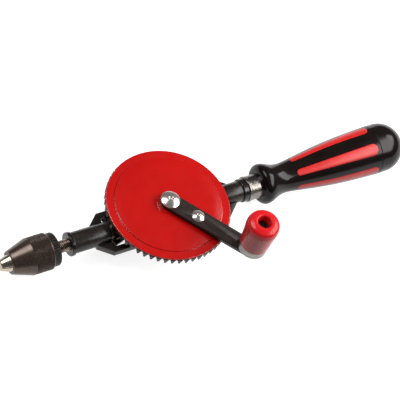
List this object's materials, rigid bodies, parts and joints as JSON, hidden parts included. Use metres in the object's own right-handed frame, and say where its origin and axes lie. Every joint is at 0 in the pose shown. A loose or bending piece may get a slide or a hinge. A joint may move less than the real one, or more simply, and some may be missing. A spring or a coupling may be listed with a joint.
{
  "type": "hand drill",
  "caption": "Crank-driven hand drill: large bevel wheel with crank and knob turns a small pinion, spindle and keyless jaw chuck; flared grip with a screw-on end cap over a bit store.",
  "frame": {"origin": "centre of the mouth of the chuck jaws, on the spindle's axis", "axes": "+X along the spindle from the jaws to the end of the handle; +Z along the wheel's axle towards the crank; +Y completes the right-handed frame"},
  "size_m": [0.3105, 0.1048, 0.0681],
  "materials": {
    "frame_paint": "semi-gloss black paint on a casting",
    "arm_paint": "satin black paint",
    "wheel_enamel": "gloss red enamel, bare dark teeth",
    "bronze": "plain bearing bronze",
    "bright_steel": "turned bright steel",
    "chrome_screws": "polished chrome plate",
    "ferrule_nickel": "nickel plate, brushed round",
    "dark_steel": "dark oiled steel",
    "black_oxide": "black oxide on steel",
    "brown_oxide": "brown-black oxide, knurled and smooth",
    "gear_steel": "dark cut gear steel",
    "jaw_steel": "ground hard steel",
    "grip_plastic": "gloss black plastic",
    "inlay_rubber": "satin red soft plastic",
    "knob_plastic": "gloss red plastic",
    "seal_rubber": "soft black rubber ring"
  },
  "bodies": {
    "frame": {"frame_casting": "frame_paint", "front_bush": "bronze", "spindle_rear_bush": "bronze", "idler_shaft": "bright_steel", "axle_screw": "chrome_screws", "axle_nut": "bright_steel", "wheel_thrust_ring": "bronze", "handle_lock_ring": "frame_paint", "handle_tang": "bright_steel", "ferrule": "ferrule_nickel", "grip": "grip_plastic", "grip_inlays": "inlay_rubber"},
    "wheel": {"drive_wheel": "wheel_enamel", "wheel_bush": "bronze", "crank_arm": "arm_paint", "arm_screw": "chrome_screws", "knob_pin": "bright_steel", "knob_washer": "bright_steel"},
    "knob": {"crank_knob": "knob_plastic", "knob_ring": "ferrule_nickel"},
    "spindle": {"spindle": "dark_steel", "spindle_collar": "black_oxide", "collar_pin": "bright_steel", "drive_pinion": "gear_steel", "pinion_pin": "bright_steel", "pinion_thrust_washer": "bronze", "chuck_body": "black_oxide", "chuck_snap_ring": "dark_steel"},
    "idler": {"idler_pinion": "gear_steel"},
    "sleeve": {"chuck_sleeve": "brown_oxide"},
    "pusher": {"jaw_pusher": "dark_steel"},
    "jaw_1": {"jaw_1": "jaw_steel"},
    "jaw_2": {"jaw_2": "jaw_steel"},
    "jaw_3": {"jaw_3": "jaw_steel"},
    "cap_ring": {"cap_seal": "seal_rubber"},
    "cap": {"end_cap": "grip_plastic"}
  },
  "joints": [
    {"name": "wheel_turn", "type": "hinge", "parent": "frame", "child": "wheel", "pos_m": [0.1215, 0, 0], "axis": [0, 0, 1], "continuous": true},
    {"name": "spindle_turn", "type": "hinge", "parent": "frame", "child": "spindle", "pos_m": [0.06, 0, 0], "axis": [1, 0, 0], "continuous": true},
    {"name": "idler_turn", "type": "hinge", "parent": "frame", "child": "idler", "pos_m": [0.1595, 0, 0], "axis": [1, 0, 0], "continuous": true},
    {"name": "knob_turn", "type": "hinge", "parent": "wheel", "child": "knob", "pos_m": [0.15706, -0.05079, 0.03], "axis": [0, 0, 1], "continuous": true},
    {"name": "sleeve_turn", "type": "hinge", "parent": "spindle", "child": "sleeve", "pos_m": [0.02, 0, 0], "axis": [-1, 0, 0], "range_deg": [0, 1440]},
    {"name": "pusher_slide", "type": "slide", "parent": "sleeve", "child": "pusher", "axis": [1, 0, 0], "range_m": [0, 0.00655]},
    {"name": "jaw_1_slide", "type": "slide", "parent": "sleeve", "child": "jaw_1", "axis": [0.948, 0, 0.3183], "range_m": [0, 0.00691]},
    {"name": "jaw_2_slide", "type": "slide", "parent": "sleeve", "child": "jaw_2", "axis": [0.948, -0.2756, -0.1591], "range_m": [0, 0.00691]},
    {"name": "jaw_3_slide", "type": "slide", "parent": "sleeve", "child": "jaw_3", "axis": [0.948, 0.2756, -0.1591], "range_m": [0, 0.00691]},
    {"name": "cap_lift", "type": "slide", "parent": "frame", "child": "cap_ring", "axis": [1, 0, 0], "range_m": [0, 0.01]},
    {"name": "cap_turn", "type": "hinge", "parent": "cap_ring", "child": "cap", "pos_m": [0.29, 0, 0], "axis": [-1, 0, 0], "range_deg": [0, 1440]}
  ],
  "couplings": [
    {"joint": "spindle_turn", "follows": "wheel_turn", "ratio": 4.6667},
    {"joint": "idler_turn", "follows": "wheel_turn", "ratio": -4.6667},
    {"joint": "pusher_slide", "follows": "sleeve_turn", "m_per_rad": 0.00026074},
    {"joint": "jaw_1_slide", "follows": "sleeve_turn", "m_per_rad": 0.00027506},
    {"joint": "jaw_2_slide", "follows": "sleeve_turn", "m_per_rad": 0.00027506},
    {"joint": "jaw_3_slide", "follows": "sleeve_turn", "m_per_rad": 0.00027506},
    {"joint": "cap_lift", "follows": "cap_turn", "m_per_rad": 0.00039789}
  ]
}
